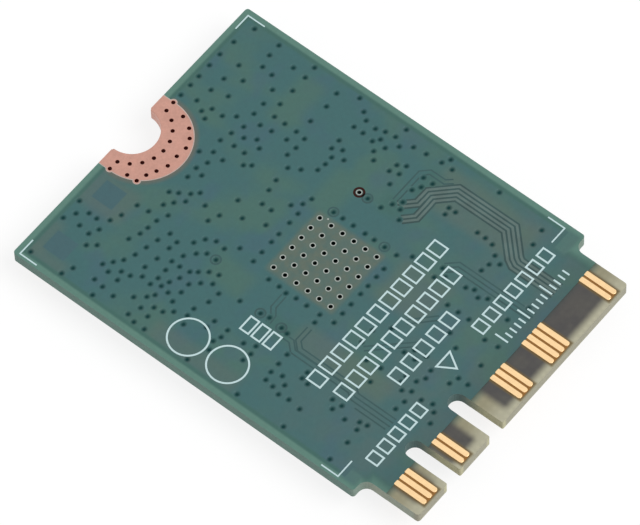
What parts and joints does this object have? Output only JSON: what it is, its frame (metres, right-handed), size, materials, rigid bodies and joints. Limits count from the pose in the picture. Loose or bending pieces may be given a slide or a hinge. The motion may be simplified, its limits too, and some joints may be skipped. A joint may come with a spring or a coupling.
{
  "type": "laptop wifi card",
  "caption": "Small wireless network card: green printed board with a keyed gold edge connector, a half-moon screw seat and a shielded radio underneath.",
  "frame": {"origin": "under the middle of the card, on the outer face of the shield lid that it lies on", "axes": "+Y from the edge connector's tip towards the half-moon screw end, +Z out of the solder side, +X across the card"},
  "size_m": [0.022, 0.03, 0.0023],
  "materials": {
    "board": "satin green solder mask over glass epoxy",
    "steel": "tinned sheet, satin",
    "gold": "gold plate, satin",
    "copper": "bare copper, matt",
    "moulding": "cream moulding",
    "chip": "black moulding compound",
    "ceramic": "tan ceramic with tinned ends",
    "ferrite": "grey ferrite with tinned ends"
  },
  "bodies": {
    "root": {"printed_board": "board", "shield_frame": "steel", "shield_lid": "steel", "main_socket_base": "moulding", "main_socket_shell": "gold", "main_socket_pin": "gold", "aux_socket_base": "moulding", "aux_socket_shell": "gold", "aux_socket_pin": "gold", "radio_chip": "chip", "radio_heat_pad": "copper", "front_end_main": "chip", "front_end_aux": "chip", "band_filter_main": "ceramic", "band_filter_aux": "ceramic", "memory_chip": "chip", "power_chip": "chip", "power_inductor_a": "ferrite", "power_inductor_b": "ferrite", "crystal_base": "ceramic", "crystal_lid": "steel", "capacitor_left_1": "ceramic", "capacitor_left_2": "ceramic", "capacitor_left_3": "ceramic", "capacitor_left_4": "ceramic", "capacitor_left_5": "ceramic", "capacitor_left_6": "ceramic", "capacitor_right_1": "ceramic", "capacitor_right_2": "ceramic", "capacitor_right_3": "ceramic", "capacitor_right_4": "ceramic", "capacitor_right_5": "ceramic", "capacitor_right_6": "ceramic"}
  },
  "joints": []
}
